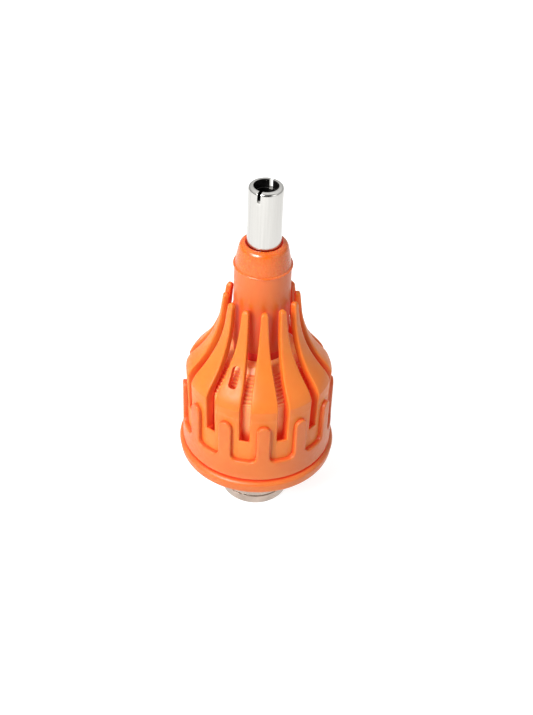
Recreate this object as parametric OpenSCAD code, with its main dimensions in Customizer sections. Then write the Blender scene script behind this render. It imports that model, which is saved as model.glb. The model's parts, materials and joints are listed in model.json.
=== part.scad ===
// Hand-squeezed dust blower: a rubber bulb inside a cage of springy petals,
// a metal nozzle tube in a collared neck, and a filtered inlet valve in the foot.
// The axis is Z, the foot stands on z = 0, and the front is towards -Y.

/* [Nozzle] */
// Outside diameter of the metal nozzle tube
nozzle_d = 10; // [9:0.5:10.5]
// Inside diameter of the metal nozzle tube
nozzle_bore = 7; // [5:0.5:7.5]
// Height of the nozzle's rim above the foot
nozzle_top = 113.5; // [104:0.5:125]
// Width of the two drive slots cut across the rim
drive_slot_w = 1; // [0.6:0.1:1.6]
// Depth of the two drive slots
drive_slot_depth = 3; // [1:0.5:5]
// Direction of the drive slots, as an angle from the front
drive_slot_turn = -22; // [-90:1:90]

/* [Neck and collar] */
// Outside diameter of the neck tube
neck_d = 16.8; // [16.2:0.2:17.4]
// Height of the collar's lower lip
collar_z = 87.8; // [86:0.2:89]
// Height of the collar's top, where the nozzle comes out
collar_top = 95.2; // [94.2:0.2:97]

/* [Petals] */
// Height of a petal's tip
tip_z = 77.7; // [74:0.1:80]
// Half-width of a petal at its tip
tip_half_w = 1.05; // [0.7:0.05:1.3]
// Half-width of a petal at its crease and below
petal_half_w = 4.15; // [3.6:0.05:4.4]
// Turn of the whole cage about the axis
cage_turn = 6.2; // [0:0.1:30]
// Petal that has the oval window through it
window_petal = 12; // [1:1:12]

/* [Crown] */
// Height of the valleys between the crown's fingers
valley_z = 30.4; // [28:0.1:33]
// Height of the tops of the crown's fingers
finger_top = 44.4; // [40:0.1:46]
// Half-width of a finger
finger_half_w = 2.1; // [1.6:0.1:2.6]

/* [Bulb] */
// Outside radius of the bulb's straight wall
bulb_r = 18.8; // [16:0.1:19.2]
// Thickness of the bulb's rubber
bulb_wall = 1.8; // [1.2:0.1:2.4]
// Distance from one fine rib to the next
rib_pitch = 0.84; // [0.6:0.02:1.2]

/* [Inlet valve] */
// Outside radius of the metal valve housing
housing_r = 10.7; // [10:0.1:11.5]

/* [Hidden] */
$fn = 96;
petals = 12;
pitch_angle = 360 / petals;
running = 0.05;

// Petal: a near-upright foot, a crease, and a blade that sweeps in to the neck
band_top = 37.6;
foot_r = 22;
crease_z = 49.8;
crease_r = 22.4;
tip_r = 11.3;
foot_thick = 2.5;
tip_thick = 1.8;
hinge_gap = 0.06;

// The blade's outer curve: straight from the tip, hollow, then full down to the crease
hollow_z = tip_z - 5.9;
sweep_z = 53.4;
tip_slope = 7;
sweep_slope = 41.5;
crease_slope = 18;
neck_end_r = tip_r + (tip_z - hollow_z) * tan(tip_slope);
hollow_r = (hollow_z - sweep_z) / (sin(sweep_slope) - sin(tip_slope));
sweep_r = neck_end_r + hollow_r * (cos(tip_slope) - cos(sweep_slope));
full_r = (sweep_z - crease_z) / (sin(sweep_slope) - sin(crease_slope));

// Crown and base
cage_bottom = 23.6;
crown_r = 23.4;
crown_in_r = foot_r + 0.02;
finger_lean = 0.3;
bead_r = 24.5;
bead_z = 21.4;
bead_round = 1.3;
bead_low_r = 24.2;
bead_low_z = 19.7;
bead_low_round = 1.9;
groove_r = foot_r + 0.3;
ledge_z = 19;
cup_floor = 8.2;
cup_floor_r = 12.2;
floor_top = cup_floor + 2.5;

// Bulb
bulb_edge_z = 49.2;
bulb_top_z = 57.6;
bulb_top_r = 10.8;
bulb_mouth_r = 7;
bulb_bottom = ledge_z;
bulb_lip_r = 20.9;
rib_height = 0.28;

// Neck, nozzle and seals
neck_r = neck_d / 2;
neck_bottom = 60.6;
nozzle_r = nozzle_d / 2;
nozzle_bottom = 76;
shank_r = nozzle_r - 0.6;
shoulder_z = collar_top + 0.1;
rim_round = 1;
socket_r = 6.2;
socket_bottom = 75;
socket_top = 91;
ring_z = 84;

// Inlet valve
stem_r = 7.9;
stem_top = 14.6;
flange_top = cup_floor - 0.6;
port_r = 2.6;
port_floor = 3.4;
chamber_r = 5;
seat_thick = 0.8;
disc_r = 4;
disc_thick = 1;
guide_r = 0.9;
retainer_z = 10;
retainer_thick = 1.4;
clip_thick = 0.5;
clip_z = retainer_z + retainer_thick;
clip_r = chamber_r + 0.85;
spring_turns = 4;
spring_wire = 0.16;
spring_r = 2.4;
screen_z = 1.4;
screen_r = 7;
screen_thick = 0.3;
filter_ring_low = 0.8;
filter_ring_thick = 0.6;
filter_ring_r = screen_r + 0.35;

function two_digits(i) = i < 10 ? str("0", i) : str(i);
function foot_name(i) = str("petal_foot_", two_digits(i));
function blade_name(i) = str("petal_blade_", two_digits(i));
function petal_angle(i) = cage_turn + pitch_angle * (i - 1);

// Points of an arc about a centre, from one angle to another
function arc(cx, cy, r, a0, a1, n = 12) =
    [for (k = [0:n]) let (a = a0 + (a1 - a0) * k / n) [cx + r * cos(a), cy + r * sin(a)]];

// Outside radius of a blade at height z
function hollow_slope(z) = asin(sin(tip_slope) + (hollow_z - z) / hollow_r);
function full_slope(z) = asin(sin(sweep_slope) - (sweep_z - z) / full_r);
function blade_r(z) = z > hollow_z
    ? tip_r + (tip_z - z) * tan(tip_slope)
    : z > sweep_z
    ? neck_end_r + hollow_r * (cos(tip_slope) - cos(hollow_slope(z)))
    : sweep_r + full_r * (cos(full_slope(z)) - cos(sweep_slope));

// Thickness and half-width of a blade, from the tip (0) to the crease (1)
function down(z) = (tip_z - z) / (tip_z - crease_z);
function blade_thick(z) = tip_thick + (foot_thick - tip_thick) * down(z);
function widen(d) = 0.44 * d + 0.28 * (1 - cos(180 * d * d));
function blade_half_w(z) = tip_half_w + (petal_half_w - tip_half_w) * widen(down(z));

// Heights along a blade, with its tip rounded over
blade_steps = 20;
blade_low = crease_z + hinge_gap;
blade_high = tip_z - tip_half_w;
blade_zs = [for (k = [0:blade_steps]) blade_low + (blade_high - blade_low) * k / blade_steps];

module facing(a) {
    rotate([0, 0, a]) children();
}

// A ring of the given radial section, about the axis
module turned(points) {
    rotate_extrude() polygon(points);
}

// A block that keeps what lies in front of the axis, with the given front outline
module front_cut(points) {
    rotate([90, 0, 0]) linear_extrude(height = 40) polygon(points);
}

module foot_shape() {
    low = band_top + hinge_gap;
    high = crease_z;
    intersection() {
        rotate([0, 0, -90 - pitch_angle / 2]) rotate_extrude(angle = pitch_angle) polygon([
            [foot_r - foot_thick, low], [foot_r, low],
            [crease_r, high], [crease_r - foot_thick, high]
        ]);
        front_cut([[-petal_half_w, low - 1], [petal_half_w, low - 1],
                   [petal_half_w, high + 1], [-petal_half_w, high + 1]]);
    }
}

module blade_shape() {
    outer = [for (z = blade_zs) [blade_r(z), z]];
    inner = [for (z = blade_zs) [blade_r(z) - blade_thick(z), z]];
    tip = arc(blade_r(blade_high) - tip_thick / 2, blade_high, tip_thick / 2, 0, 180, 10);
    right = [for (z = blade_zs) [blade_half_w(z), z]];
    left = [for (k = [blade_steps:-1:0]) [-blade_half_w(blade_zs[k]), blade_zs[k]]];
    top = arc(0, blade_high, blade_half_w(blade_high), 0, 180, 10);
    backwards = [for (k = [blade_steps:-1:0]) inner[k]];
    intersection() {
        rotate([0, 0, -90 - pitch_angle / 2])
            rotate_extrude(angle = pitch_angle) polygon(concat(outer, tip, backwards));
        front_cut(concat(right, top, left));
    }
}

// Oval through a blade, square to its sloping face
module window() {
    mid_z = 57.5;
    half_w = 1.2;
    half_l = 3.5;
    translate([0, -blade_r(mid_z), mid_z]) rotate([90 - hollow_slope(mid_z), 0, 0]) {
        linear_extrude(height = 12, center = true) {
            translate([0, half_l - half_w]) circle(r = half_w, $fn = 32);
            translate([-half_w, -half_l + 0.3]) square([2 * half_w, 2 * half_l - half_w - 0.3]);
            translate([-half_w + 0.3, -half_l]) square([2 * half_w - 0.6, 1]);
        }
    }
}

module petal_foot(i) {
    color("darkorange") facing(petal_angle(i)) foot_shape();
}

module petal_blade(i) {
    color("orange") facing(petal_angle(i)) difference() {
        blade_shape();
        if (i == window_petal) window();
    }
}

// Ring that carries the petals; between two petals its top falls away inwards
module cage_band() {
    in_r = foot_r - foot_thick;
    fall = 2.6;
    gap_half_w = foot_r * sin(pitch_angle / 2) - petal_half_w - 0.4;
    color("darkorange") difference() {
        turned([
            [in_r, cage_bottom], [foot_r, cage_bottom], [foot_r, band_top], [in_r, band_top]
        ]);
        for (i = [1:petals]) facing(petal_angle(i) + pitch_angle / 2) rotate([90, 0, -90])
            linear_extrude(height = 2 * gap_half_w, center = true) polygon([
                [foot_r - 0.6, band_top], [in_r - 1, band_top - fall - 1], [in_r - 1, band_top + 1],
                [foot_r - 0.6, band_top + 1]
            ]);
    }
}

// What is cut from the crown's wall round one finger, seen from the front:
// half a valley each side, with round corners, and a round top to the finger
module finger_surround() {
    reach = crown_r * sin(pitch_angle / 2) + 0.1;
    corner = 1.9;
    w = finger_half_w;
    polygon(concat(
        [[reach, valley_z]],
        arc(w + corner, valley_z + corner, corner, 270, 180, 8),
        arc(0, finger_top - w, w, 0, 180, 16),
        arc(-w - corner, valley_z + corner, corner, 0, -90, 8),
        [[-reach, valley_z], [-reach, finger_top + 1], [reach, finger_top + 1]]
    ));
}

module crown_ring() {
    bend_z = band_top - 2;
    color("orange") difference() {
        turned([
            [crown_in_r, cage_bottom], [crown_r, cage_bottom], [crown_r, finger_top],
            [crown_in_r + finger_lean, finger_top], [crown_in_r, bend_z]
        ]);
        for (i = [1:petals]) facing(petal_angle(i))
            rotate([90, 0, 0]) linear_extrude(height = 40) finger_surround();
    }
}

module base_cup() {
    rim = bead_z + bead_round;
    seat_r = foot_r - foot_thick + 1.4;
    cavity_r = 18.6;
    wall_rise = 3;
    under = -47;
    low_r = bead_low_r - bead_low_round;
    slope = (bead_low_z + bead_low_round * sin(under) - cup_floor)
        / (low_r + bead_low_round * cos(under) - cup_floor_r);
    color("darkorange") turned(concat(
        [[stem_r + running, floor_top], [stem_r + running, cup_floor], [cup_floor_r, cup_floor]],
        arc(low_r, bead_low_z, bead_low_round, under, 0, 8),
        arc(bead_r - bead_round, bead_z, bead_round, 0, 90, 8),
        [[groove_r, rim], [groove_r, cage_bottom], [seat_r, cage_bottom],
         [seat_r, ledge_z], [cavity_r, ledge_z],
         [cavity_r, cup_floor + wall_rise + slope * (cavity_r - cup_floor_r)],
         [cup_floor_r, floor_top + 0.5], [cup_floor_r - 0.6, floor_top]]
    ));
}

module bulb() {
    slope = (bulb_r - bulb_top_r) / (bulb_top_z - bulb_edge_z);
    ribs = floor((bulb_top_z - bulb_edge_z - 0.5) / rib_pitch);
    in_r = bulb_r - bulb_wall;
    color("tomato") turned(concat(
        [[in_r, bulb_bottom + 2], [in_r, bulb_edge_z - 0.8],
         [bulb_mouth_r + 1.2, bulb_top_z - bulb_wall - 0.6], [bulb_mouth_r, bulb_top_z - bulb_wall - 0.6],
         [bulb_mouth_r, bulb_top_z], [bulb_top_r, bulb_top_z]],
        [for (k = [0:ribs - 1], side = [0:1])
            let (z = bulb_top_z - 0.4 - rib_pitch * (k + side * 0.5),
                 r = bulb_top_r + slope * (bulb_top_z - z))
            [r + (side == 0 ? 0 : rib_height), z]],
        [[bulb_r, bulb_edge_z - 0.6], [bulb_r, bulb_bottom + 2.6],
         [bulb_lip_r - 0.1, bulb_bottom + 2.6], [bulb_lip_r - 0.1, bulb_bottom],
         [in_r, bulb_bottom]]
    ));
}

// Ring between the cage and the bulb's lip that clamps the lip to the base cup
module bulb_clamp_ring() {
    low = bulb_bottom + 2.6;
    color("dimgray") turned([
        [bulb_r + 0.1, low], [bulb_lip_r - 0.1, low], [bulb_lip_r - 0.1, cage_bottom],
        [foot_r - foot_thick - 0.1, cage_bottom], [foot_r - foot_thick - 0.1, low + 4],
        [bulb_r + 0.1, low + 4]
    ]);
}

// Lock ring inside the bulb that holds its mouth against the neck
module mouth_ring() {
    top = bulb_top_z - bulb_wall - 0.6;
    color("gray") turned([
        [6.1, top - 2.4], [bulb_mouth_r + 1, top - 2.4], [bulb_mouth_r + 1, top],
        [6.1, top]
    ]);
}

// Seal in the recess between the neck and the bulb
module neck_seal() {
    color("firebrick") turned([
        [6.1, bulb_top_z], [8, bulb_top_z], [8, neck_bottom], [6.1, neck_bottom]
    ]);
}

module neck_tube() {
    spigot_low = bulb_top_z - bulb_wall - 3;
    spigot_r = 6.1;
    core_r = neck_r - 0.8;
    color("darkorange") turned([
        [4.6, spigot_low], [spigot_r, spigot_low], [spigot_r, neck_bottom], [neck_r, neck_bottom],
        [neck_r, collar_z - 0.3], [core_r, collar_z - 0.3], [core_r, collar_z + 3],
        [socket_r, collar_z + 3], [socket_r, socket_bottom], [4.6, socket_bottom]
    ]);
}

// Bush pressed into the neck, in which the nozzle turns
module nozzle_socket() {
    bore_r = shank_r + running;
    groove_r = shank_r + 0.8;
    floor_r = 3.7;
    color("goldenrod") turned([
        [floor_r, socket_bottom], [socket_r, socket_bottom], [socket_r, socket_top],
        [bore_r, socket_top], [bore_r, ring_z + 0.7], [groove_r, ring_z + 0.7],
        [groove_r, ring_z - 0.7], [bore_r, ring_z - 0.7], [bore_r, nozzle_bottom - running],
        [floor_r, nozzle_bottom - running]
    ]);
}

module nozzle_o_ring() {
    section_r = 0.36;
    color("black") rotate_extrude() translate([shank_r + 0.03 + section_r, ring_z])
        circle(r = section_r, $fn = 24);
}

module nose_collar() {
    collar_r = 7.2;
    shoulder = 1.9;
    core_r = neck_r - 0.8;
    lip_r = neck_r + 0.3;
    color("orangered") turned(concat(
        [[core_r, collar_z - 0.3], [lip_r - 0.1, collar_z - 0.3], [lip_r, collar_z - 0.1],
         [lip_r, collar_z + 0.3], [lip_r - 0.25, collar_z + 0.55]],
        arc(collar_r - shoulder, collar_top - shoulder, shoulder, 8, 90, 10),
        [[nozzle_r + 0.3, collar_top], [nozzle_r + 0.3, collar_top - 0.5],
         [shank_r + 0.2, collar_top - 0.5], [shank_r + 0.2, socket_top],
         [socket_r, socket_top], [socket_r, collar_z + 3], [core_r, collar_z + 3]]
    ));
}

module nozzle_tube() {
    bore_r = nozzle_bore / 2;
    color("silver") difference() {
        turned([
            [bore_r, nozzle_bottom], [shank_r, nozzle_bottom], [shank_r, shoulder_z],
            [nozzle_r, shoulder_z], [nozzle_r, nozzle_top - rim_round],
            [nozzle_r - 0.2, nozzle_top - 0.5 * rim_round],
            [nozzle_r - 0.6, nozzle_top - 0.15 * rim_round],
            [nozzle_r - 1, nozzle_top], [bore_r, nozzle_top]
        ]);
        facing(drive_slot_turn) translate([-drive_slot_w / 2, -nozzle_d, nozzle_top - drive_slot_depth])
            cube([drive_slot_w, 2 * nozzle_d, drive_slot_depth + 1]);
    }
}

module valve_housing() {
    rim = 0.9;
    line_z = 3.3;
    top_r = chamber_r + 0.5;
    entry_r = screen_r + 0.15;
    ring_groove_r = screen_r + 0.4;
    clip_groove_r = clip_r + running;
    ring_top = filter_ring_low + filter_ring_thick;
    color("silver") turned([
        [port_r, screen_z + screen_thick], [port_r, port_floor], [chamber_r, port_floor],
        [chamber_r, retainer_z], [top_r, retainer_z], [top_r, clip_z], [clip_groove_r, clip_z],
        [clip_groove_r, clip_z + clip_thick + running], [top_r, clip_z + clip_thick + running],
        [top_r, stem_top], [stem_r, stem_top], [stem_r, flange_top],
        [housing_r, flange_top], [housing_r, line_z + 0.6], [housing_r - 0.4, line_z + 0.5],
        [housing_r - 0.4, line_z + 0.1], [housing_r, line_z],
        [housing_r, rim], [housing_r - rim, 0],
        [entry_r, 0], [entry_r, filter_ring_low], [ring_groove_r, filter_ring_low],
        [ring_groove_r, ring_top], [screen_r, ring_top], [screen_r, screen_z + screen_thick]
    ]);
}

module housing_gasket() {
    color("black") turned([
        [stem_r + running, flange_top], [housing_r - 0.6, flange_top],
        [housing_r - 0.6, cup_floor], [stem_r + running, cup_floor]
    ]);
}

// Ring nut on the housing's stem, with four notches for a key
module valve_nut() {
    nut_r = 10.4;
    color("gold") difference() {
        turned([
            [stem_r, floor_top], [nut_r, floor_top], [nut_r, floor_top + 3],
            [stem_r, floor_top + 3]
        ]);
        for (a = [0:90:270]) facing(a) translate([-1, -nut_r - 1, floor_top + 1.5])
            cube([2, 2, 3]);
    }
}

module filter_screen() {
    hole_r = 0.3;
    rings = 4;
    color("gray") difference() {
        translate([0, 0, screen_z]) cylinder(r = screen_r - 0.05, h = screen_thick);
        for (ring = [1:rings], k = [0:6 * ring - 1]) rotate([0, 0, 60 * k / ring])
            translate([1.1 * ring, 0, screen_z - 1]) cylinder(r = hole_r, h = 2, $fn = 16);
    }
}

// Split spring ring that holds the filter screen up in its recess
module filter_ring() {
    top = filter_ring_low + filter_ring_thick;
    color("silver") difference() {
        turned([[screen_r - 1, filter_ring_low], [filter_ring_r, filter_ring_low],
                [filter_ring_r, top], [screen_r - 1, top]]);
        translate([-1, -screen_r - 2, 0]) cube([2, 4, screen_z]);
    }
}

module valve_seat() {
    color("firebrick") turned([
        [port_r, port_floor], [chamber_r - 0.1, port_floor],
        [chamber_r - 0.1, port_floor + 0.3], [disc_r - 0.4, port_floor + seat_thick],
        [port_r, port_floor + seat_thick]
    ]);
}

module valve_disc() {
    low = port_floor + seat_thick;
    color("whitesmoke") {
        translate([0, 0, low]) cylinder(r = disc_r, h = disc_thick);
        translate([0, 0, low + disc_thick]) cylinder(r1 = guide_r + 0.5, r2 = guide_r, h = 0.5);
        translate([0, 0, low + disc_thick]) cylinder(r = guide_r, h = 7.2);
    }
}

// Round wire wound between the disc and the retainer
module valve_spring() {
    low = port_floor + seat_thick + disc_thick + spring_wire;
    high = retainer_z - spring_wire;
    sides = 6;
    steps = 14 * spring_turns;
    points = [for (k = [0:steps], s = [0:sides - 1])
        let (a = 360 * spring_turns * k / steps, b = 360 * s / sides,
             r = spring_r + spring_wire * cos(b))
        [r * cos(a), r * sin(a), low + (high - low) * k / steps + spring_wire * sin(b)]];
    skin = [for (k = [0:steps - 1], s = [0:sides - 1])
        let (n = (s + 1) % sides)
        [k * sides + s, (k + 1) * sides + s, (k + 1) * sides + n, k * sides + n]];
    ends = [[for (s = [0:sides - 1]) s],
            [for (s = [sides - 1:-1:0]) steps * sides + s]];
    color("silver") polyhedron(points, concat(skin, ends));
}

module spring_retainer() {
    color("whitesmoke") difference() {
        translate([0, 0, retainer_z]) cylinder(r = chamber_r + 0.45, h = retainer_thick);
        translate([0, 0, retainer_z - 1]) cylinder(r = guide_r + running, h = 4);
        for (a = [0:60:300]) rotate([0, 0, a + 30])
            translate([3.3, 0, retainer_z - 1]) cylinder(r = 0.9, h = 4, $fn = 24);
    }
}

module retaining_clip() {
    color("silver") difference() {
        turned([[chamber_r - 0.7, clip_z], [clip_r, clip_z],
                [clip_r, clip_z + clip_thick], [chamber_r - 0.7, clip_z + clip_thick]]);
        translate([-1.2, -clip_r - 2, clip_z - 1]) cube([2.4, 4, 3]);
    }
}

FIXED = [
    "nozzle_tube", "nozzle_socket", "nozzle_o_ring", "nose_collar", "neck_tube", "neck_seal",
    "mouth_ring", "bulb", "bulb_clamp_ring", "cage_band", "crown_ring", "base_cup",
    "valve_housing", "housing_gasket", "valve_nut", "filter_screen", "filter_ring",
    "valve_seat", "valve_disc", "valve_spring", "spring_retainer", "retaining_clip"
];

nozzle_tube();
nozzle_socket();
nozzle_o_ring();
nose_collar();
neck_tube();
neck_seal();
mouth_ring();
bulb();
bulb_clamp_ring();
cage_band();
crown_ring();
base_cup();
valve_housing();
housing_gasket();
valve_nut();
filter_screen();
filter_ring();
valve_seat();
valve_disc();
valve_spring();
spring_retainer();
retaining_clip();
for (i = [1:petals]) petal_foot(i);
for (i = [1:petals]) petal_blade(i);
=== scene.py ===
import json
import math

import bmesh
import bpy
import numpy as np
from mathutils import Matrix, Vector


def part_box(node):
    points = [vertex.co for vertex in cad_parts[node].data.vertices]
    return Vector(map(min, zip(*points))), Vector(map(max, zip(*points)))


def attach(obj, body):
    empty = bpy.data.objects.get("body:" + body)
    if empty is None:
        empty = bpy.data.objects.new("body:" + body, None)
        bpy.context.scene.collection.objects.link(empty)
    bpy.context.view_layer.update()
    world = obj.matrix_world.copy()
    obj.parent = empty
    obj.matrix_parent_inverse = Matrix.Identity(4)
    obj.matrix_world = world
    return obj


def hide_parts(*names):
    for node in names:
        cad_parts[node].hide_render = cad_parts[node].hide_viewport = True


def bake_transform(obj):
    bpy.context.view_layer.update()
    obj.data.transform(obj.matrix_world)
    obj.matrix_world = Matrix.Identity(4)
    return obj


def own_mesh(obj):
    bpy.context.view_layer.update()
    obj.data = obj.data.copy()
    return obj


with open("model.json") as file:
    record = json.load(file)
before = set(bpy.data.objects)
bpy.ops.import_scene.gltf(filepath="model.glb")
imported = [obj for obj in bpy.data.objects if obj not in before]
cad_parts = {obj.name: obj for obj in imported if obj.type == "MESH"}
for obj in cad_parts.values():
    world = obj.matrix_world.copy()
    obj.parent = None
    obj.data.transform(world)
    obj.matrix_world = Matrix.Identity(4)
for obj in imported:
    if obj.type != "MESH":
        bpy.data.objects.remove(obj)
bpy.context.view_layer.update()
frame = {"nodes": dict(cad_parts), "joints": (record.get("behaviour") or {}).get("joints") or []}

MM = 0.001  # metres in a millimetre
PETALS = 12
PITCH = 360 / PETALS  # degrees from one petal to the next


# ---------------------------------------------------------------- sizes, read from the frame
def top(node):
    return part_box(node)[1].z / MM


def bottom(node):
    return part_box(node)[0].z / MM


def radius(node):
    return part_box(node)[1].x / MM


hinges = {joint["name"]: joint for joint in frame["joints"]}
foot_hinge = Vector(hinges["squeeze_01"]["pos_m"]) / MM
crease_hinge = Vector(hinges["crease_01"]["pos_m"]) / MM
CAGE_TURN = math.degrees(math.atan2(foot_hinge.x, -foot_hinge.y))  # angle of petal 1 from the front
BAND_TOP = top("cage_band")
BAND_R = radius("cage_band")
CREASE_Z = crease_hinge.z
CREASE_R = math.hypot(crease_hinge.x, crease_hinge.y)
TIP_Z = top("petal_blade_01")
WALL = 2.5  # thickness of the band and of the petals at their roots


def petal_angle(i):
    """Angle of petal i about Z, in degrees from the front."""
    return CAGE_TURN + PITCH * (i - 1)


# ---------------------------------------------------------------- mesh helpers
def add_object(name, data):
    obj = bpy.data.objects.new(name, data)
    bpy.context.scene.collection.objects.link(obj)
    return obj


def finish_bmesh(bm, name, sharp_deg=32):
    """Turns a bmesh in millimetres into an object in metres, smooth except at its sharp edges."""
    bmesh.ops.recalc_face_normals(bm, faces=bm.faces)
    limit = math.radians(sharp_deg)
    for edge in bm.edges:
        edge.smooth = len(edge.link_faces) == 2 and edge.calc_face_angle(0) < limit
    for face in bm.faces:
        face.smooth = True
    bmesh.ops.scale(bm, vec=(MM, MM, MM), verts=bm.verts)
    mesh = bpy.data.meshes.new(name)
    bm.to_mesh(mesh)
    bm.free()
    return add_object(name, mesh)


def arc(cx, cy, r, a0, a1, steps=8):
    """Points along a circle from angle a0 to a1, in degrees."""
    angles = np.radians(np.linspace(a0, a1, steps + 1))
    return [(cx + r * math.cos(a), cy + r * math.sin(a)) for a in angles]


def rounded(points, radii, steps=5):
    """An outline with each corner rounded by its own radius, 0 for a corner left alone."""
    out = []
    count = len(points)
    for k in range(count):
        here = Vector(points[k])
        before = Vector(points[k - 1]) - here
        after = Vector(points[(k + 1) % count]) - here
        r = radii[k]
        turn = before.angle(after)
        if r <= 0 or turn > math.radians(176):
            out.append(tuple(here))
            continue
        run = min(r / math.tan(turn / 2), before.length * 0.48, after.length * 0.48)
        start = here + before.normalized() * run
        end = here + after.normalized() * run
        for s in range(steps + 1):
            t = s / steps
            out.append(tuple(start * (1 - t) ** 2 + here * 2 * t * (1 - t) + end * t ** 2))
    return out


def lathe(name, outline, segments, start=0.0, sweep=360.0):
    """Turns a closed (radius, height) outline about Z, all round or over one sector."""
    bm = bmesh.new()
    whole = abs(sweep - 360) < 1e-6
    rings = segments if whole else segments + 1
    loops = []
    for k in range(rings):
        a = math.radians(start + sweep * k / segments)
        loops.append([bm.verts.new((r * math.sin(a), -r * math.cos(a), z)) for r, z in outline])
    count = len(outline)
    for k in range(segments):
        one, two = loops[k], loops[(k + 1) % rings]
        for j in range(count):
            n = (j + 1) % count
            bm.faces.new([one[j], two[j], two[n], one[n]])
    if not whole:
        bm.faces.new(loops[0])
        bm.faces.new(list(reversed(loops[-1])))
    bmesh.ops.remove_doubles(bm, verts=bm.verts, dist=1e-5)
    return finish_bmesh(bm, name)


def loft(name, rings, sharp_deg=32):
    """Skins a list of closed rings of points, with a flat cap at each end."""
    bm = bmesh.new()
    loops = [[bm.verts.new(p) for p in ring] for ring in rings]
    count = len(rings[0])
    for one, two in zip(loops, loops[1:]):
        for j in range(count):
            n = (j + 1) % count
            bm.faces.new([one[j], one[n], two[n], two[j]])
    bm.faces.new(list(reversed(loops[0])))
    bm.faces.new(loops[-1])
    return finish_bmesh(bm, name, sharp_deg)


def cut_out(obj, cutter):
    """Takes the cutter's shape out of obj and deletes the cutter."""
    modifier = obj.modifiers.new("cut", "BOOLEAN")
    modifier.operation = "DIFFERENCE"
    modifier.solver = "EXACT"
    modifier.object = cutter
    apply_modifiers(obj)
    bpy.data.objects.remove(cutter)


def apply_modifiers(obj):
    """Swaps the mesh for its result with every modifier applied."""
    graph = bpy.context.evaluated_depsgraph_get()
    mesh = bpy.data.meshes.new_from_object(obj.evaluated_get(graph))
    obj.modifiers.clear()
    obj.data = mesh


def soften(obj, width, angle=50, segments=3):
    """Rounds the sharp edges of obj by the given width in millimetres."""
    modifier = obj.modifiers.new("soften", "BEVEL")
    modifier.width = width * MM
    modifier.segments = segments
    modifier.limit_method = "ANGLE"
    modifier.angle_limit = math.radians(angle)
    modifier.use_clamp_overlap = True
    apply_modifiers(obj)
    for polygon in obj.data.polygons:
        polygon.use_smooth = True


def moved_part(made):
    """The vertices among the geometry that a bmesh operation returns."""
    return [v for v in made["geom"] if isinstance(v, bmesh.types.BMVert)]


def turn_about(bm, degrees, axis, verts):
    bmesh.ops.rotate(bm, matrix=Matrix.Rotation(math.radians(degrees), 3, axis), verts=verts)


def slice_up(bm, places, normal):
    """Cuts the whole mesh along planes, so that it can bend between them."""
    for distance in places:
        everything = bm.verts[:] + bm.edges[:] + bm.faces[:]
        bmesh.ops.bisect_plane(bm, geom=everything, plane_co=normal * distance, plane_no=normal)


def box_mesh(name, low, high, turn):
    """A box between two corners, turned about Z. Only used to cut with."""
    bm = bmesh.new()
    bmesh.ops.create_cube(bm, size=1)
    size = [h - l for l, h in zip(low, high)]
    mid = [(h + l) / 2 for l, h in zip(low, high)]
    bmesh.ops.scale(bm, vec=size, verts=bm.verts)
    bmesh.ops.translate(bm, vec=mid, verts=bm.verts)
    turn_about(bm, turn, "Z", bm.verts)
    return finish_bmesh(bm, name)


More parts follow.
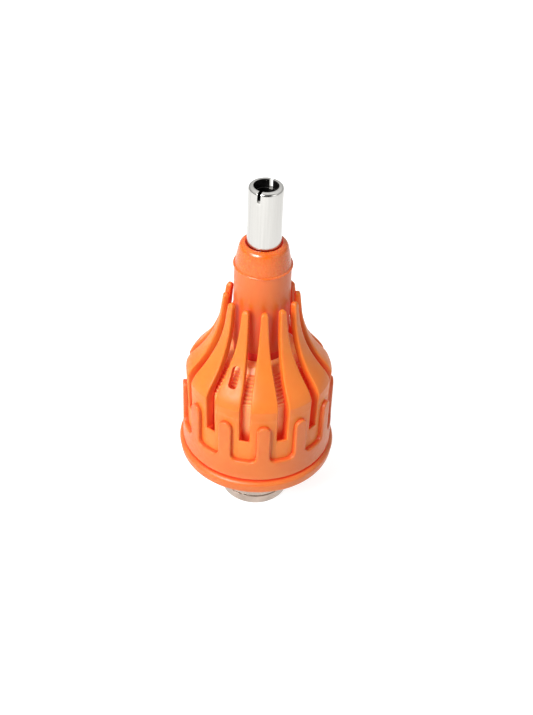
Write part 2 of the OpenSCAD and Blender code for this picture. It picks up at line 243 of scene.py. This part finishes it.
# ---------------------------------------------------------------- materials
class Surface:
    """A Principled material and short ways to add the nodes it needs."""

    def __init__(self, name, **sockets):
        self.material = bpy.data.materials.new(name)
        self.material.use_nodes = True
        self.tree = self.material.node_tree
        self.tree.nodes.clear()
        self.out = self.node("ShaderNodeOutputMaterial")
        self.shader = self.node("ShaderNodeBsdfPrincipled")
        self.link(self.shader, "BSDF", self.out, "Surface")
        for key, value in sockets.items():
            self.shader.inputs[key.replace("_", " ")].default_value = value
        self.where = self.node("ShaderNodeTexCoord")
        self.relief = None

    def node(self, kind, **values):
        made = self.tree.nodes.new(kind)
        for key, value in values.items():
            setattr(made, key, value)
        return made

    def link(self, a, a_socket, b, b_socket):
        self.tree.links.new(a.outputs[a_socket], b.inputs[b_socket])

    def noise(self, scale, detail=4.0, stretch=(1, 1, 1)):
        """Noise over the object's own coordinates, its cells longer where stretch is small."""
        mapping = self.node("ShaderNodeMapping")
        mapping.inputs["Scale"].default_value = stretch
        self.link(self.where, "Object", mapping, "Vector")
        noise = self.node("ShaderNodeTexNoise")
        noise.inputs["Scale"].default_value = scale
        noise.inputs["Detail"].default_value = detail
        noise.inputs["Roughness"].default_value = 0.55
        self.link(mapping, "Vector", noise, "Vector")
        return noise, "Fac"

    def ramp(self, source, stops):
        """Maps a factor through a list of (place, colour) stops."""
        ramp = self.node("ShaderNodeValToRGB")
        elements = ramp.color_ramp.elements
        while len(elements) < len(stops):
            elements.new(0.5)
        for element, (place, colour) in zip(elements, stops):
            element.position = place
            element.color = (*colour, 1)
        self.tree.links.new(source[0].outputs[source[1]], ramp.inputs["Fac"])
        return ramp, "Color"

    def span(self, source, low, high, out_low, out_high):
        """Maps a factor from one range of values to another."""
        span = self.node("ShaderNodeMapRange")
        for key, value in (("From Min", low), ("From Max", high), ("To Min", out_low), ("To Max", out_high)):
            span.inputs[key].default_value = value
        self.tree.links.new(source[0].outputs[source[1]], span.inputs["Value"])
        return span, "Result"

    def mix(self, factor, a, b):
        """Mixes two colours by a factor; each is a (node, socket) pair or a plain colour."""
        mix = self.node("ShaderNodeMix", data_type="RGBA")
        sockets = [s for s in mix.inputs if s.type == "RGBA"]
        for socket, value in zip(sockets, (a, b)):
            if isinstance(value[0], bpy.types.Node):
                self.tree.links.new(value[0].outputs[value[1]], socket)
            else:
                socket.default_value = (*value, 1)
        self.tree.links.new(factor[0].outputs[factor[1]], mix.inputs["Factor"])
        return mix, [k for k, s in enumerate(mix.outputs) if s.type == "RGBA"][0]

    def feed(self, source, socket):
        """Drives one of the shader's sockets from a (node, socket) pair."""
        self.tree.links.new(source[0].outputs[source[1]], self.shader.inputs[socket])

    def bump(self, source, distance, strength):
        """Adds a layer of relief over the layers that are already there."""
        bump = self.node("ShaderNodeBump")
        bump.inputs["Distance"].default_value = distance
        bump.inputs["Strength"].default_value = strength
        self.tree.links.new(source[0].outputs[source[1]], bump.inputs["Height"])
        if self.relief is not None:
            self.link(self.relief, "Normal", bump, "Normal")
        self.link(bump, "Normal", self.shader, "Normal")
        self.relief = bump


# Painted shade and painted glow: the deep red mixed into an elastomer's colour where it is closed in, and
# the faint red light such places give off.
PAINTED_CREVICE_SHADE = (0.44, 0.036, 0.010)
PAINTED_CREVICE_GLOW = (0.25, 0.009, 0.003)


def elastomer(name, light, deep, rough, sheen, close=(0.30, 0.78)):
    """Moulded elastomer: slow colour drift, a fine satin grain, and worn, slightly pale edges.

    Surfaces that others close in get painted shade, a deep red mixed into the colour, and a faint
    painted red glow, in place of light that scatters through the rubber.
    close is the range of openness, 0 to 1, over which the painted shade and glow come in.
    """
    s = Surface(name, Roughness=rough, Specular_IOR_Level=sheen, Subsurface_Weight=0.4,
                Subsurface_Radius=(1.0, 0.16, 0.04), Subsurface_Scale=0.0022)
    drift = s.noise(55, 3)
    colour = s.ramp(drift, [(0.32, deep), (0.68, light)])
    geometry = s.node("ShaderNodeNewGeometry")
    worn = s.span((geometry, "Pointiness"), 0.52, 0.60, 0.0, 0.35)
    pale = tuple(min(1.0, c * 1.06 + 0.035) for c in light)
    # Painted shade from openness: the less open a surface, the more deep red in its colour and the more
    # painted red glow it gives off.
    openness = s.node("ShaderNodeAmbientOcclusion", samples=8)
    openness.inputs["Distance"].default_value = 0.006
    closed = s.span((openness, "AO"), *close, 1.0, 0.0)
    s.feed(s.mix(closed, s.mix(worn, colour, pale), PAINTED_CREVICE_SHADE), "Base Color")
    s.feed(s.mix(closed, (0, 0, 0), PAINTED_CREVICE_GLOW), "Emission Color")
    s.shader.inputs["Emission Strength"].default_value = 1.0
    s.feed(s.span(s.noise(900, 4), 0.3, 0.7, rough - 0.07, rough + 0.09), "Roughness")
    s.bump(s.noise(4200, 3), 0.00003, 0.12)
    s.bump(s.noise(240, 3), 0.00012, 0.12)
    return s.material


def polished(name, tint, rough):
    """Polished metal with faint drawn lines along its length."""
    line_scale, lines = 1400, (1, 1, 0.02)
    s = Surface(name, Metallic=1.0, Roughness=rough, Anisotropic=0.2)
    dull = tuple(c * 0.86 for c in tint)
    s.feed(s.ramp(s.noise(line_scale, 3, stretch=lines), [(0.25, dull), (0.7, tint)]), "Base Color")
    s.feed(s.span(s.noise(260, 5), 0.3, 0.75, rough * 0.7, rough * 1.5), "Roughness")
    s.bump(s.noise(line_scale, 4, stretch=lines), 0.00001, 0.25)
    return s.material


def turned_metal(name, tint, rough):
    """Lathe-turned metal: fine rings round the axis, with a little staining."""
    s = Surface(name, Metallic=1.0, Roughness=rough)
    stain = s.noise(180, 5)
    s.feed(s.ramp(stain, [(0.3, tuple(c * 0.72 for c in tint)), (0.7, tint)]), "Base Color")
    s.feed(s.span(s.noise(700, 4), 0.3, 0.7, rough - 0.06, rough + 0.12), "Roughness")
    s.bump(s.noise(2600, 2, stretch=(0.03, 0.03, 1)), 0.00002, 0.35)
    return s.material


def plain_seal(name, tint, rough):
    """Seal rubber or plain plastic: a mottled tone with a fine grain."""
    s = Surface(name, Roughness=rough, Specular_IOR_Level=0.4)
    s.feed(s.ramp(s.noise(320, 4), [(0.3, tuple(c * 0.7 for c in tint)), (0.7, tint)]), "Base Color")
    s.feed(s.span(s.noise(1500, 3), 0.3, 0.7, rough - 0.08, rough + 0.08), "Roughness")
    s.bump(s.noise(2600, 3), 0.00003, 0.2)
    return s.material


cage_skin = elastomer("cage_elastomer", (0.52, 0.132, 0.012), (0.48, 0.110, 0.008), 0.44, 0.32)
crown_skin = elastomer("crown_elastomer", (0.46, 0.106, 0.011), (0.43, 0.090, 0.008), 0.42, 0.40)
neck_skin = elastomer("neck_elastomer", (0.44, 0.086, 0.006), (0.41, 0.074, 0.004), 0.40, 0.38)
collar_skin = elastomer("collar_elastomer", (0.46, 0.086, 0.002), (0.43, 0.074, 0.002), 0.27, 0.55)
bulb_skin = elastomer("bulb_rubber_skin", (0.95, 0.44, 0.16), (0.92, 0.36, 0.11), 0.36, 0.42,
                      close=(0.18, 0.50))
tube_metal = polished("nozzle_polished", (0.55, 0.54, 0.515), 0.16)
bore_metal = turned_metal("nozzle_bore_dark", (0.035, 0.033, 0.032), 0.42)
foot_metal = turned_metal("foot_turned", (0.50, 0.42, 0.36), 0.30)
brass = turned_metal("turned_brass", (0.78, 0.56, 0.26), 0.25)
wire_metal = polished("spring_wire", (0.72, 0.72, 0.74), 0.25)
screen_metal = turned_metal("screen_steel_skin", (0.52, 0.52, 0.54), 0.35)
black_seal = plain_seal("black_seal", (0.022, 0.022, 0.024), 0.5)
red_seal = plain_seal("red_seal", (0.70, 0.022, 0.012), 0.42)
grey_part = plain_seal("grey_moulded", (0.26, 0.26, 0.27), 0.5)
white_part = plain_seal("white_moulded", (0.80, 0.79, 0.75), 0.45)


def dress(obj, material):
    obj.data.materials.clear()
    obj.data.materials.append(material)


def place(obj, material, body, slot, *nodes):
    """Gives a piece its material and body and hides the CAD nodes it stands for; the slot argument is not
    used.
    """
    dress(obj, material)
    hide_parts(*nodes)
    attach(obj, body)


# ---------------------------------------------------------------- nozzle, collar and neck
def build_nozzle():
    """The slotted tube, with a rounded rim; faces inside the bore get the dark metal."""
    low, high = bottom("nozzle_tube"), top("nozzle_tube")
    outer, bore = radius("nozzle_tube"), 3.5
    shank = outer - 0.6
    shoulder = hinges["nozzle_turn"]["pos_m"][2] / MM
    rim_round, step = 0.94, 0.12
    outline = [(bore, low), (shank, low), (shank, shoulder), (outer, shoulder)]
    outline += [(outer, high - 14), (outer, high - 8), (outer, high - 4), (outer, high - 1.05)]
    outline += arc(outer - 0.95, high - 0.98, rim_round, 8, 78)
    outline += [(outer - 1.15, high), (bore + 0.12, high - 0.02), (bore, high - 0.14)]
    outline += [(bore, high - 2.6), (bore - step, high - 2.7), (bore - step, high - 12)]
    tube = lathe("nozzle_tube_skin", outline, 128)
    slot_w, slot_deep, slot_turn = 1.0, 3.0, -22
    slot_low = (-slot_w / 2, -outer * 2, high - slot_deep)
    slot_high = (slot_w / 2, outer * 2, high + 2)
    cut_out(tube, box_mesh("slot_cutter", slot_low, slot_high, slot_turn))
    soften(tube, 0.07, angle=60, segments=2)
    place(tube, tube_metal, "nozzle", "nozzle_metal", "nozzle_tube")
    tube.data.materials.append(bore_metal)
    for polygon in tube.data.polygons:
        out = Vector((polygon.center.x, polygon.center.y, 0))
        faces_in = polygon.normal.dot(out.normalized()) < -0.3
        if faces_in and out.length < (bore + 0.1) * MM:
            polygon.material_index = 1


def build_collar():
    """The cap round the nozzle: a thin lip, a slightly hollow cone and a rounded shoulder."""
    low, high = bottom("nose_collar"), top("nose_collar")
    lip, inner = radius("nose_collar"), radius("nozzle_tube") + 0.22
    collar_r, shoulder, edge = 7.2, 1.9, 0.3
    outline = [(inner, low + 3), (inner + 1, low + 0.1), (lip - 0.2, low)]
    outline += arc(lip - edge, low + 0.32, edge, -70, 80, 6)
    outline += [(lip - 0.5, low + 0.72), (lip - 0.66, low + 1.3)]
    outline += [(lip - 0.88, low + 2.9), (lip - 1.16, low + 4.4)]
    outline += arc(collar_r - shoulder, high - shoulder, shoulder, 14, 82, 10)
    outline += arc(inner + 0.32, high - edge, edge, 80, 180, 5)
    place(lathe("nose_collar_skin", outline, 144), collar_skin, "body", "collar_orange", "nose_collar")


def build_neck():
    """The plain neck, stepped in at its foot for the red seal."""
    low, high = bottom("neck_tube"), bottom("nose_collar")
    outer, bore, seat = radius("neck_tube"), 4.6, 6.1
    seal_top, corner = top("neck_seal"), 0.35
    outline = [(bore, low), (seat, low), (seat, seal_top)]
    outline += arc(outer - corner, seal_top + corner, corner, -90, 0, 4)
    outline += [(outer, seal_top + 6), (outer - 0.03, high - 8)]
    outline += [(outer - 0.06, high - 0.02), (bore, high - 0.02)]
    place(lathe("neck_tube_skin", outline, 144), neck_skin, "body", "neck_orange", "neck_tube")


# ---------------------------------------------------------------- bulb
BULB_R = 18.8


def bulb_outline():
    """Half section of the bulb: flange, straight wall, ribbed cone and mouth."""
    low, high = bottom("bulb"), top("bulb")
    edge_z, top_r, mouth, wall, flange_r = 49.2, 10.8, 7.0, 1.8, 20.7
    pitch, swell, rib_steps = 0.84, 0.17, 6
    slope = (BULB_R - top_r) / (high - edge_z)
    outline = [(BULB_R - wall, low), (flange_r, low), (flange_r, low + 2.5), (BULB_R, low + 2.6)]
    outline += [(BULB_R, low + 12), (BULB_R, edge_z - 6)]
    outline += arc(BULB_R - 0.6, edge_z - 0.75, 0.6, 0, 42, 4)
    ribs = int((high - edge_z - 1.1) / pitch)
    for k in range(ribs * rib_steps):
        z = edge_z + 0.15 + pitch * k / rib_steps
        r = BULB_R - slope * (z - edge_z)
        lift = swell * math.cos(2 * math.pi * k / rib_steps)
        outline.append((r + lift * 0.75, z + lift * 0.66))
    outline += arc(top_r - 0.1, high - 0.5, 0.5, 40, 90, 4)
    outline += [(mouth, high), (mouth, high - 2.4), (mouth + 1.2, high - 2.4)]
    outline += [(BULB_R - wall, edge_z - 0.8)]
    return outline


def build_bulb():
    """One sector of bulb for each gap between petals."""
    outline = bulb_outline()
    for i in range(1, PETALS + 1):
        middle = petal_angle(i) + PITCH / 2
        sector = lathe(f"bulb_sector_{i:02d}", outline, 12, middle - PITCH / 2, PITCH)
        place(sector, bulb_skin, "body", "bulb_rubber", "bulb")
        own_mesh(sector)


# ---------------------------------------------------------------- petals
TIP_R = 11.3
TIP_HALF = 1.05  # half the width at the tip
FULL_HALF = 4.15  # half the width from the crease down
TIP_THICK = 1.8
CREASE_THICK = 3.4
SIDE_DRAFT = 0.12  # how much the sides draw in with depth
WINDOW_PETAL = 12
ROOT_Z = 28.0  # foot's lower end, inside the band
SPLIT_Z = 46.0  # where the foot ends and the blade begins
HOLLOW_Z = TIP_Z - 5.9  # below this the blade curves out
SWEEP_Z = 53.4  # below this it curves back in, down to the crease
# Lean of the blade at its tip, at SWEEP_Z and at the crease, from upright
TIP_SLOPE, SWEEP_SLOPE, CREASE_SLOPE = [math.radians(a) for a in (7, 41.5, 18)]
NECK_END_R = TIP_R + (TIP_Z - HOLLOW_Z) * math.tan(TIP_SLOPE)
HOLLOW_R = (HOLLOW_Z - SWEEP_Z) / (math.sin(SWEEP_SLOPE) - math.sin(TIP_SLOPE))
SWEEP_R = NECK_END_R + HOLLOW_R * (math.cos(TIP_SLOPE) - math.cos(SWEEP_SLOPE))
FULL_R = (SWEEP_Z - CREASE_Z) / (math.sin(SWEEP_SLOPE) - math.sin(CREASE_SLOPE))


def hollow_slope(z):
    """Lean of the blade's outward curve at height z, in radians."""
    return math.asin(math.sin(TIP_SLOPE) + (HOLLOW_Z - z) / HOLLOW_R)


def petal_radius(z):
    """Outside radius of a petal at height z, the same curve as the CAD blade and foot."""
    if z > HOLLOW_Z:
        return TIP_R + (TIP_Z - z) * math.tan(TIP_SLOPE)
    if z > SWEEP_Z:
        return NECK_END_R + HOLLOW_R * (math.cos(TIP_SLOPE) - math.cos(hollow_slope(z)))
    if z > CREASE_Z:
        slope = math.asin(math.sin(SWEEP_SLOPE) - (SWEEP_Z - z) / FULL_R)
        return SWEEP_R + FULL_R * (math.cos(slope) - math.cos(SWEEP_SLOPE))
    up = max(0.0, (z - BAND_TOP) / (CREASE_Z - BAND_TOP))
    return BAND_R + 0.02 + (CREASE_R - BAND_R - 0.02) * up


def petal_half(z):
    """Half the petal's width at height z: narrow at the tip, then flaring to the crease."""
    down = min(1.0, (TIP_Z - z) / (TIP_Z - CREASE_Z))
    flare = 0.44 * down + 0.28 * (1 - math.cos(math.pi * down * down))
    return TIP_HALF + (FULL_HALF - TIP_HALF) * flare


def petal_thick(z):
    """Thickest at the crease, thinner to the tip and down to the band."""
    if z > CREASE_Z:
        down = (TIP_Z - z) / (TIP_Z - CREASE_Z)
        return TIP_THICK + (WALL - TIP_THICK) * down + (CREASE_THICK - WALL) * down ** 3
    return WALL + (CREASE_THICK - WALL) * max(0.0, (z - BAND_TOP) / (CREASE_Z - BAND_TOP))


def petal_ring(z, angle, shrink=1.0):
    """One section of a petal: a block with rounded corners, bent to the petal's radius, narrower inside."""
    half, deep = petal_half(z) * shrink, petal_thick(z) * shrink
    r_out = petal_radius(z) - petal_thick(z) * (1 - shrink) / 2
    corner = min(0.42, half * 0.48, deep * 0.48)
    flat = []
    across = 6
    for x in np.linspace(-half + corner, half - corner, across):
        flat.append((x, 0.0))
    flat += [(half - corner + corner * math.sin(a), corner - corner * math.cos(a))
             for a in np.radians([22.5, 45, 67.5, 90])]
    flat += [(half, deep * 0.5)]
    flat += [(half - corner + corner * math.cos(a), deep - corner + corner * math.sin(a))
             for a in np.radians([0, 30, 60, 90])]
    for x in np.linspace(half - corner, -half + corner, across)[1:]:
        flat.append((x, deep))
    flat += [(-half + corner - corner * math.sin(a), deep - corner + corner * math.cos(a))
             for a in np.radians([30, 60, 90])]
    flat += [(-half, deep * 0.5)]
    flat += [(-half + corner - corner * math.cos(a), corner - corner * math.sin(a))
             for a in np.radians([0, 22.5, 45, 67.5])]
    turn = math.radians(angle)
    ring = []
    for face_x, depth in flat:
        x = face_x * (1 - SIDE_DRAFT * depth / half)
        y = -math.sqrt((r_out - depth) ** 2 - x * x)
        ring.append((x * math.cos(turn) - y * math.sin(turn), x * math.sin(turn) + y * math.cos(turn), z))
    return ring


def heights(*runs):
    """Heights for the sections of a loft, from runs of (low, high, count), close together at a bend."""
    return [z for run in runs for z in np.linspace(*run)]


def build_petal(i):
    """A petal's foot and blade, each lofted as its own piece."""
    n = f"{i:02d}"
    angle = petal_angle(i)
    tip_start = TIP_Z - TIP_HALF
    foot_z = heights((ROOT_Z, 36.0, 4), (36.4, 40.4, 11), (41.4, SPLIT_Z, 6))
    blade_z = heights((SPLIT_Z, 48.4, 4), (48.8, 51.2, 13), (51.8, tip_start, 36))
    foot_rings = [petal_ring(z, angle) for z in foot_z]
    blade_rings = [petal_ring(z, angle) for z in blade_z]
    for a in np.radians([25, 45, 62, 76, 85]):
        blade_rings.append(petal_ring(tip_start + TIP_HALF * math.sin(a), angle, math.cos(a)))
    foot = loft(f"petal_foot_skin_{n}", foot_rings)
    blade = loft(f"petal_blade_skin_{n}", blade_rings)
    if i == WINDOW_PETAL:
        cut_window(blade, angle)
    for piece, lower, upper, node, z0, z1 in (
            (foot, "body", "foot_" + n, "petal_foot_" + n, BAND_TOP - 1.2, BAND_TOP + 2.2),
            (blade, "foot_" + n, "blade_" + n, "petal_blade_" + n, CREASE_Z - 1.3, CREASE_Z + 1.3)):
        dress(piece, cage_skin)
        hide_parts(node)
        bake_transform(piece)


def cut_window(blade, angle):
    """Cuts the oval window square to the blade's sloping face."""
    mid_z, half_w, half_l, corner, reach = 57.5, 1.38, 3.5, 1.25, 6
    lower_end = [(-half_w, 0), (-half_w, -half_l), (half_w, -half_l), (half_w, 0)]
    outline = arc(0, half_l - half_w, half_w, 0, 180, 14) + rounded(lower_end, [0, corner, corner, 0])
    bm = bmesh.new()
    face = bm.faces.new([bm.verts.new((x, y, -reach)) for x, y in outline])
    lifted = bmesh.ops.extrude_face_region(bm, geom=[face])
    bmesh.ops.translate(bm, vec=(0, 0, 2 * reach), verts=moved_part(lifted))
    turn_about(bm, 90 - math.degrees(hollow_slope(mid_z)), "X", bm.verts)
    bmesh.ops.translate(bm, vec=(0, -petal_radius(mid_z), mid_z), verts=bm.verts)
    turn_about(bm, angle, "Z", bm.verts)
    cut_out(blade, finish_bmesh(bm, "window_cutter"))
    soften(blade, 0.16, angle=58)


def build_band():
    """The ring the petals stand on; its top falls away inwards in the gaps between them."""
    low, high, inner = bottom("cage_band"), BAND_TOP, BAND_R - WALL
    outline = rounded([(inner, low), (BAND_R, low), (BAND_R, high), (inner, high)], [0, 0, 0.4, 0.1])
    band = lathe("cage_band_skin", outline, 180)
    gap = BAND_R * math.sin(math.radians(PITCH / 2)) - FULL_HALF - 0.4
    fall, edge_r = 2.6, BAND_R - 0.6
    wedge = [(edge_r, high), (inner - 1, high - fall - 1), (inner - 1, high + 1), (edge_r, high + 1)]
    bm = bmesh.new()
    for i in range(1, PETALS + 1):
        a = math.radians(petal_angle(i) + PITCH / 2)
        out = Vector((math.sin(a), -math.cos(a), 0))
        across = Vector((math.cos(a), math.sin(a), 0))
        near, far = [[bm.verts.new(out * r + across * w + Vector((0, 0, z))) for r, z in wedge]
                     for w in (-gap, gap)]
        bm.faces.new(near)
        bm.faces.new(list(reversed(far)))
        for k in range(len(wedge)):
            n = (k + 1) % len(wedge)
            bm.faces.new([near[n], near[k], far[k], far[n]])
    cut_out(band, finish_bmesh(bm, "band_cutter"))
    place(band, cage_skin, "body", "cage_orange", "cage_band")


# ---------------------------------------------------------------- crown and base
def crown_outline():
    """One bay of the crown laid flat: x along the rim, y up, a finger in the middle."""
    base, valley = bottom("crown_ring"), 30.4
    tip, half, corner = top("crown_ring"), 2.1, 1.9
    reach = radius("crown_ring") * math.radians(PITCH / 2)
    right = [(reach, base), (reach, valley)]
    right += arc(half + corner, valley + corner, corner, 270, 180, 8)
    right += arc(0, tip - half, half, 0, 90, 10)
    left = [(-x, y) for x, y in reversed(right[:-1])]
    return right + left, reach


def flat_bay(outline, reach, thick):
    """A slab of the bay's outline, its front edges rounded and its two joining ends left open."""
    bm = bmesh.new()
    back = bm.faces.new([bm.verts.new((x, y, 0)) for x, y in outline])
    lifted = bmesh.ops.extrude_face_region(bm, geom=[back])
    bmesh.ops.translate(bm, vec=(0, 0, thick), verts=moved_part(lifted))
    near = 1e-5
    rim = [e for e in bm.edges if all(v.co.z > thick - near for v in e.verts)
           and not all(abs(abs(v.co.x) - reach) < near for v in e.verts)]
    bmesh.ops.bevel(bm, geom=rim, offset=0.5, segments=4, profile=0.5, affect="EDGES", clamp_overlap=True)
    ends = [f for f in bm.faces if all(abs(abs(v.co.x) - reach) < near for v in f.verts)
            and abs(sum(v.co.x for v in f.verts)) > reach]
    bmesh.ops.delete(bm, geom=ends, context="FACES")
    return bm


def build_crown():
    """The fingered ring: a flat bay bent round the band, then repeated once for each petal."""
    outline, reach = crown_outline()
    low, tip = bottom("crown_ring"), top("crown_ring")
    outer_r, inner_r = radius("crown_ring") - 0.01, BAND_R + 0.03
    thick, lean, lean_z = outer_r - inner_r, 0.28, BAND_TOP - 2
    bm = flat_bay(outline, reach, thick)
    slice_up(bm, np.linspace(-reach, reach, 21)[1:-1], Vector((1, 0, 0)))
    slice_up(bm, np.linspace(low, tip, 14)[1:-1], Vector((0, 1, 0)))
    for v in bm.verts:
        flat = v.co.copy()
        inside = inner_r + lean * max(0.0, (flat.y - lean_z) / (tip - lean_z))
        r = inside + (outer_r - inside) * flat.z / thick
        a = flat.x / reach * math.radians(PITCH / 2)
        v.co = (r * math.sin(a), -r * math.cos(a), flat.y)
    bay = bm.verts[:] + bm.edges[:] + bm.faces[:]
    for i in range(1, PETALS):
        copy = bmesh.ops.duplicate(bm, geom=bay)
        turn_about(bm, PITCH * i, "Z", moved_part(copy))
    turn_about(bm, CAGE_TURN, "Z", bm.verts)
    bmesh.ops.remove_doubles(bm, verts=bm.verts, dist=2e-4)
    place(finish_bmesh(bm, "crown_ring_skin", 36), crown_skin, "body", "crown_orange", "crown_ring")


def build_base():
    """The base cup: a sloping underside, a roll, the round bead and the groove above it."""
    rim, floor_z, stem = bottom("crown_ring"), bottom("base_cup"), 7.95
    bead_r, bead_z, bead_round = radius("base_cup"), 21.4, 1.3
    roll_r, roll_z, roll_round = bead_r - 2.2, 19.7, 1.9
    floor_r, floor_round = 11.8, 0.8
    groove, bore, ledge = BAND_R + 0.3, 20.9, 18.6
    outline = [(stem, floor_z + 2.5), (stem, floor_z)]
    outline += arc(floor_r, floor_z + floor_round, floor_round, -90, -48, 4)
    outline += arc(roll_r, roll_z, roll_round, -47, 3, 10)
    outline += arc(bead_r - bead_round, bead_z, bead_round, 6, 84, 12)
    outline += [(groove + 0.25, bead_z + bead_round), (groove, bead_z + bead_round + 0.2)]
    outline += [(groove, rim - 0.01), (bore, rim - 0.01), (bore, 19.0), (ledge, 19.0), (ledge, 17.3)]
    outline += [(12.2, 11.2), (11.6, 10.7)]
    place(lathe("base_cup_skin", outline, 180), crown_skin, "body", "crown_orange", "base_cup")


def build_housing():
    """The valve housing: a metal foot with a turned line round it, and the bored stem above."""
    outer, high = radius("valve_housing"), 7.6
    stem, stem_top = 7.9, top("valve_housing")
    recess, chamber, port = 7.15, 5.0, 2.6
    line_z, line_in = 3.3, outer - 0.4
    foot = [(recess, 0), (outer - 0.55, 0), (outer, 0.7), (outer, line_z), (line_in, line_z + 0.1),
            (line_in, line_z + 0.5), (outer, line_z + 0.6), (outer, high), (stem, high)]
    outline = [(7.4, 0.8), (recess, 0.7)]
    outline += rounded(foot, [0.12, 0.25, 0.25, 0.1, 0.05, 0.05, 0.1, 0.3, 0])
    outline += [(stem, stem_top), (5.5, stem_top), (5.5, 10.0), (chamber, 10.0), (chamber, 3.4)]
    outline += [(port, 3.4), (port, 1.7), (7.0, 1.7), (7.0, 1.4), (7.4, 1.4)]
    place(lathe("valve_housing_skin", outline, 144), foot_metal, "body", "housing_steel", "valve_housing")


def build_spring():
    """The valve's coil spring, built at one length; in the real valve it shortens towards its retainer as
    the disc lifts.
    """
    wire, turns, turn_steps, sides = 0.16, 4, 40, 10
    low, high = bottom("valve_spring") + wire, top("valve_spring") - wire
    coil_r = radius("valve_spring") - wire
    section = arc(0, 0, wire, 0, 360, sides)[:-1]
    rings = []
    for k in range(turns * turn_steps + 1):
        a = 2 * math.pi * k / turn_steps
        z = low + (high - low) * k / (turns * turn_steps)
        rings.append([((coil_r + u) * math.cos(a), (coil_r + u) * math.sin(a), z + v) for u, v in section])
    spring = loft("valve_spring_skin", rings, 60)
    place(spring, wire_metal, "body", "spring_steel", "valve_spring")
    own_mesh(spring)


build_nozzle()
build_collar()
build_neck()
build_bulb()
for number in range(1, PETALS + 1):
    build_petal(number)
build_band()
build_crown()
build_base()
build_housing()
build_spring()

INNER_LOOKS = {
    "nozzle_socket": brass, "valve_nut": brass, "nozzle_o_ring": black_seal, "housing_gasket": black_seal,
    "neck_seal": red_seal, "valve_seat": red_seal, "mouth_ring": grey_part, "bulb_clamp_ring": grey_part,
    "filter_screen": screen_metal, "filter_ring": wire_metal,
    "retaining_clip": wire_metal, "valve_disc": white_part, "spring_retainer": white_part,
}
for node_name, look in INNER_LOOKS.items():
    dress(frame["nodes"][node_name], look)


# ---------------------------------------------------------------- floor, light and camera
def build_floor():
    """Pale paper that gives off a little light, so that shadows on it stay faint."""
    size = 40.0
    bm = bmesh.new()
    bmesh.ops.create_grid(bm, x_segments=1, y_segments=1, size=size / MM / 2)
    floor = finish_bmesh(bm, "studio_floor")
    s = Surface("floor_paper", Roughness=0.9, Specular_IOR_Level=0.1)
    s.feed(s.ramp(s.noise(30, 3), [(0.3, (0.36, 0.36, 0.36)), (0.7, (0.39, 0.39, 0.39))]), "Base Color")
    s.bump(s.noise(900, 3), 0.00005, 0.05)
    s.shader.inputs["Emission Color"].default_value = (1, 1, 1, 1)
    s.shader.inputs["Emission Strength"].default_value = 0.75
    dress(floor, s.material)


def area_light(name, where, aim, size, power):
    light = bpy.data.lights.new(name, "AREA")
    light.shape = "DISK"
    light.size = size
    light.energy = power
    obj = add_object(name, light)
    obj.location = where
    obj.rotation_euler = (Vector(aim) - Vector(where)).to_track_quat("-Z", "Y").to_euler()


def build_light():
    """A bright tent with a darker opening behind the camera, and a key from the upper left."""
    world = bpy.data.worlds.new("studio_world")
    world.use_nodes = True
    tree = world.node_tree
    back = tree.nodes["Background"]
    where = tree.nodes.new("ShaderNodeTexCoord")
    facing = tree.nodes.new("ShaderNodeVectorMath")
    facing.operation = "DOT_PRODUCT"
    facing.inputs[1].default_value = Vector((0.1, -1, 0.62)).normalized()
    split = tree.nodes.new("ShaderNodeSeparateXYZ")
    shade = tree.nodes.new("ShaderNodeMapRange")
    shade.interpolation_type = "SMOOTHSTEP"
    rise = tree.nodes.new("ShaderNodeMapRange")
    for node, span in ((shade, (0.35, 0.9, 1.0, 0.1)), (rise, (0.1, 1.0, 0.45, 1.5))):
        for key, value in zip(("From Min", "From Max", "To Min", "To Max"), span):
            node.inputs[key].default_value = value
    both = tree.nodes.new("ShaderNodeMath")
    both.operation = "MULTIPLY"
    direction = where.outputs["Generated"]
    for start, end in ((direction, facing.inputs[0]), (direction, split.inputs[0]),
                       (facing.outputs["Value"], shade.inputs["Value"]),
                       (split.outputs["Z"], rise.inputs["Value"]),
                       (shade.outputs["Result"], both.inputs[0]),
                       (rise.outputs["Result"], both.inputs[1]),
                       (both.outputs["Value"], back.inputs["Strength"])):
        tree.links.new(start, end)
    back.inputs["Color"].default_value = (1, 1, 1, 1)
    bpy.context.scene.world = world
    centre = (0, 0, 0.05)
    area_light("key_softbox", (-0.40, -0.48, 0.60), centre, 0.45, 14)
    area_light("fill_softbox", (0.6, -0.45, 0.40), centre, 0.5, 1.0)


def build_camera():
    """The fitted view: from 39 degrees above the front, rolled a little, aimed just beside the axis."""
    elevation, roll = math.radians(39.0), math.radians(2.6)
    distance, aim_z = 0.3636, 0.0576
    shift_right, shift_up = 0.00218, -0.00364
    forward = Vector((0, math.cos(elevation), -math.sin(elevation)))
    right = Vector((1, 0, 0))
    up = right.cross(forward)
    data = bpy.data.cameras.new("photo_camera")
    data.sensor_fit = "VERTICAL"
    data.sensor_height = 36
    data.lens = 60.4
    data.clip_start = 0.01
    data.clip_end = 60
    camera = add_object("photo_camera", data)
    where = Vector((0, 0, aim_z)) - forward * distance + right * shift_right + up * shift_up
    across = right * math.cos(roll) + up * math.sin(roll)
    upward = up * math.cos(roll) - right * math.sin(roll)
    turn = Matrix((across, upward, -forward)).transposed()
    camera.matrix_world = Matrix.Translation(where) @ turn.to_4x4()
    bpy.context.scene.camera = camera


build_floor()
build_light()
build_camera()
bpy.context.scene.view_settings.view_transform = "Standard"
